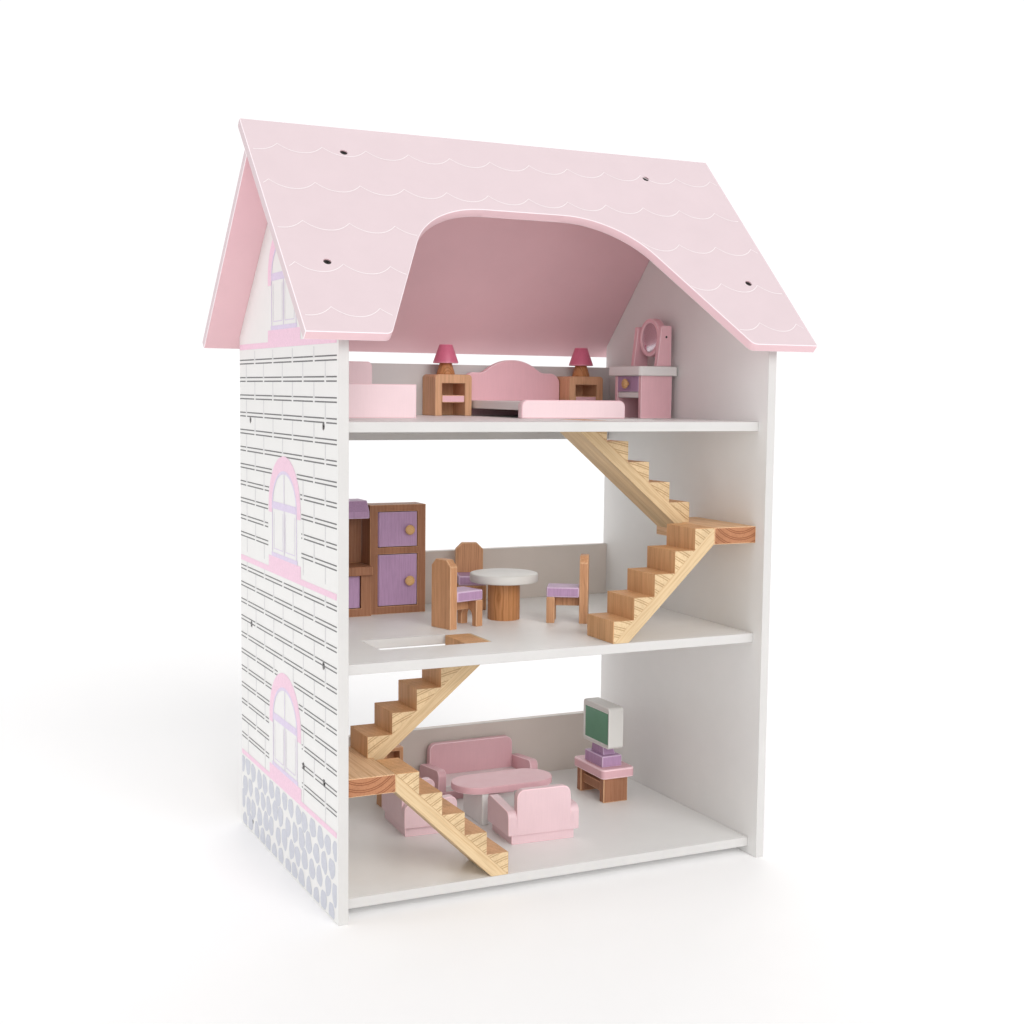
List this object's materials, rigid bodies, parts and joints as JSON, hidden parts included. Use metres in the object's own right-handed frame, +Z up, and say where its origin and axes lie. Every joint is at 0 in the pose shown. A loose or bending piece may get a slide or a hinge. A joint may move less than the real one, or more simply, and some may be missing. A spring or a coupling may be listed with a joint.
{
  "type": "wooden dollhouse",
  "caption": "Open-fronted wooden dollhouse with a pitched roof, an arched roof cut-out, stairs with landings, and loose painted wooden furniture in every room.",
  "frame": {"origin": "middle of the footprint, on the surface the house stands on", "axes": "+Z up, the open front faces -Y, +X towards the right-hand wall"},
  "size_m": [0.508, 0.3518, 0.7025],
  "materials": {
    "white_board": "satin",
    "roof_board": "satin",
    "pink_board": "satin",
    "lilac_board": "satin",
    "shade_pink": "satin",
    "beech": "satin",
    "pine": "satin",
    "screw_steel": "satin",
    "mirror_glass": "polished",
    "screen_green": "satin"
  },
  "bodies": {
    "house": {"left_wall": "white_board", "right_wall": "white_board", "ground_floor": "white_board", "middle_floor": "white_board", "attic_floor": "white_board", "ground_back_rail": "white_board", "middle_back_rail": "white_board", "attic_back_rail": "white_board", "roof_front": "roof_board", "roof_back": "roof_board", "screws": "screw_steel", "left_landing": "pine", "left_stair_boards": "pine", "left_stair_steps": "pine", "right_landing": "pine", "right_stair_boards": "pine", "right_stair_steps": "pine"},
    "small_bed": {"small_bed_frame": "pink_board", "small_bed_base": "white_board"},
    "left_nightstand_and_lamp": {"left_nightstand": "beech", "left_lamp": "shade_pink"},
    "right_nightstand_and_lamp": {"right_nightstand": "beech", "right_lamp": "shade_pink"},
    "double_bed": {"double_bed_headboard": "pink_board", "double_bed_footboard": "pink_board", "double_bed_base": "white_board"},
    "vanity": {"vanity_body": "pink_board", "vanity_top_and_shelf": "white_board", "mirror_uprights": "pink_board"},
    "drawer": {"vanity_drawer": "lilac_board"},
    "mirror": {"mirror_ring": "pink_board", "mirror_glass": "mirror_glass"},
    "kitchen": {"kitchen_case": "beech", "kitchen_hood": "lilac_board"},
    "upper_door": {"upper_door": "lilac_board"},
    "lower_door": {"lower_door": "lilac_board"},
    "side_door": {"side_door": "lilac_board"},
    "round_table": {"round_table_top": "white_board", "round_table_base": "beech"},
    "left_chair": {"left_chair_frame": "beech", "left_chair_seat": "lilac_board"},
    "back_chair": {"back_chair_frame": "beech", "back_chair_seat": "lilac_board"},
    "right_chair": {"right_chair_frame": "beech", "right_chair_seat": "lilac_board"},
    "sofa": {"sofa_body": "pink_board", "sofa_seat": "white_board"},
    "left_armchair": {"left_armchair_body": "pink_board", "left_armchair_seat": "white_board"},
    "right_armchair": {"right_armchair_body": "pink_board", "right_armchair_seat": "white_board"},
    "coffee_table": {"coffee_table_top": "pink_board", "coffee_table_legs": "white_board"},
    "tv_table": {"tv_table_top": "pink_board", "tv_table_legs": "beech"},
    "tv": {"tv_case": "white_board", "tv_screen": "screen_green", "tv_stand": "lilac_board"},
    "small_shelf": {"small_shelf": "beech"}
  },
  "joints": [
    {"name": "small_bed_out", "type": "slide", "parent": "house", "child": "small_bed", "axis": [0, -1, 0], "range_m": [0, 0.1]},
    {"name": "left_nightstand_out", "type": "slide", "parent": "house", "child": "left_nightstand_and_lamp", "axis": [0, -1, 0], "range_m": [0, 0.08]},
    {"name": "right_nightstand_out", "type": "slide", "parent": "house", "child": "right_nightstand_and_lamp", "axis": [0, -1, 0], "range_m": [0, 0.04]},
    {"name": "double_bed_lift", "type": "slide", "parent": "house", "child": "double_bed", "axis": [0, 0, 1], "range_m": [0, 0.025]},
    {"name": "vanity_out", "type": "slide", "parent": "house", "child": "vanity", "axis": [0, -1, 0], "range_m": [0, 0.1]},
    {"name": "drawer_slide", "type": "slide", "parent": "vanity", "child": "drawer", "axis": [-1, 0, 0], "range_m": [0, 0.02]},
    {"name": "mirror_tilt", "type": "hinge", "parent": "vanity", "child": "mirror", "pos_m": [0.197, 0.03225, 0.5145], "axis": [0, 1, 0], "range_deg": [-25, 25]},
    {"name": "kitchen_out", "type": "slide", "parent": "house", "child": "kitchen", "axis": [0, -1, 0], "range_m": [0, 0.06]},
    {"name": "upper_door_hinge", "type": "hinge", "parent": "kitchen", "child": "upper_door", "pos_m": [-0.087, 0.1028, 0.31085], "axis": [0, 0, 1], "range_deg": [-90, 0]},
    {"name": "lower_door_hinge", "type": "hinge", "parent": "kitchen", "child": "lower_door", "pos_m": [-0.087, 0.1028, 0.25675], "axis": [0, 0, 1], "range_deg": [-90, 0]},
    {"name": "side_door_hinge", "type": "hinge", "parent": "kitchen", "child": "side_door", "pos_m": [-0.1144, 0.0968, 0.24765], "axis": [0, 0, 1], "range_deg": [0, 90]},
    {"name": "round_table_lift", "type": "slide", "parent": "house", "child": "round_table", "axis": [0, 0, 1], "range_m": [0, 0.1]},
    {"name": "left_chair_lift", "type": "slide", "parent": "house", "child": "left_chair", "axis": [0, 0, 1], "range_m": [0, 0.1]},
    {"name": "back_chair_lift", "type": "slide", "parent": "house", "child": "back_chair", "axis": [0, 0, 1], "range_m": [0, 0.1]},
    {"name": "right_chair_lift", "type": "slide", "parent": "house", "child": "right_chair", "axis": [0, 0, 1], "range_m": [0, 0.1]},
    {"name": "sofa_lift", "type": "slide", "parent": "house", "child": "sofa", "axis": [0, 0, 1], "range_m": [0, 0.1]},
    {"name": "left_armchair_lift", "type": "slide", "parent": "house", "child": "left_armchair", "axis": [0, 0, 1], "range_m": [0, 0.1]},
    {"name": "right_armchair_lift", "type": "slide", "parent": "house", "child": "right_armchair", "axis": [0, 0, 1], "range_m": [0, 0.1]},
    {"name": "coffee_table_lift", "type": "slide", "parent": "house", "child": "coffee_table", "axis": [0, 0, 1], "range_m": [0, 0.1]},
    {"name": "tv_table_out", "type": "slide", "parent": "house", "child": "tv_table", "axis": [0, -1, 0], "range_m": [0, 0.1]},
    {"name": "tv_lift", "type": "slide", "parent": "tv_table", "child": "tv", "axis": [0, 0, 1], "range_m": [0, 0.06]},
    {"name": "small_shelf_lift", "type": "slide", "parent": "house", "child": "small_shelf", "axis": [0, 0, 1], "range_m": [0, 0.06]}
  ]
}
